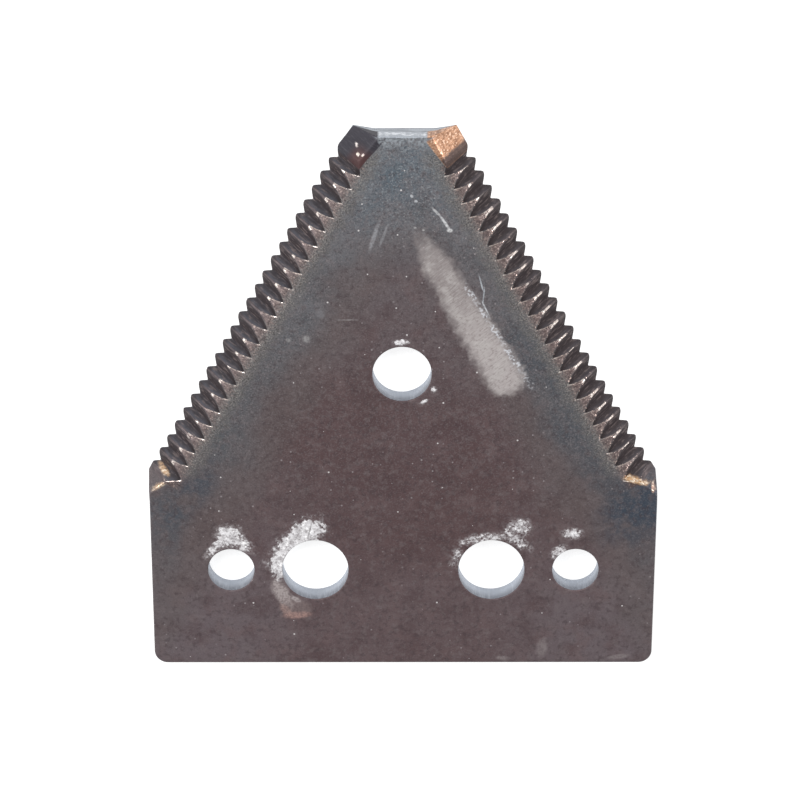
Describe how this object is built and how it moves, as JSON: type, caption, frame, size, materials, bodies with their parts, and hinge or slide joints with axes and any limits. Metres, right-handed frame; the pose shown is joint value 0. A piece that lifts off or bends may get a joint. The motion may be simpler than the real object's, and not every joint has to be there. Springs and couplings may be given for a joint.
{
  "type": "mower sickle section",
  "caption": "Flat hardened steel cutting section for a sickle bar mower, with a cropped tip, toothed bevelled edges and a row of fastening holes above the heel.",
  "frame": {"origin": "middle of the plate's length and width, on the rear face that the section lies on", "axes": "+X across the plate, +Y from the heel to the tip, +Z out of the bevelled front face"},
  "size_m": [0.076, 0.086, 0.0035],
  "materials": {
    "steel": "heat-tinted brown to blue patina with bare scuffs round the holes and ground copper-tinted bevels"
  },
  "bodies": {
    "root": {"sickle_section": "steel"}
  },
  "joints": []
}
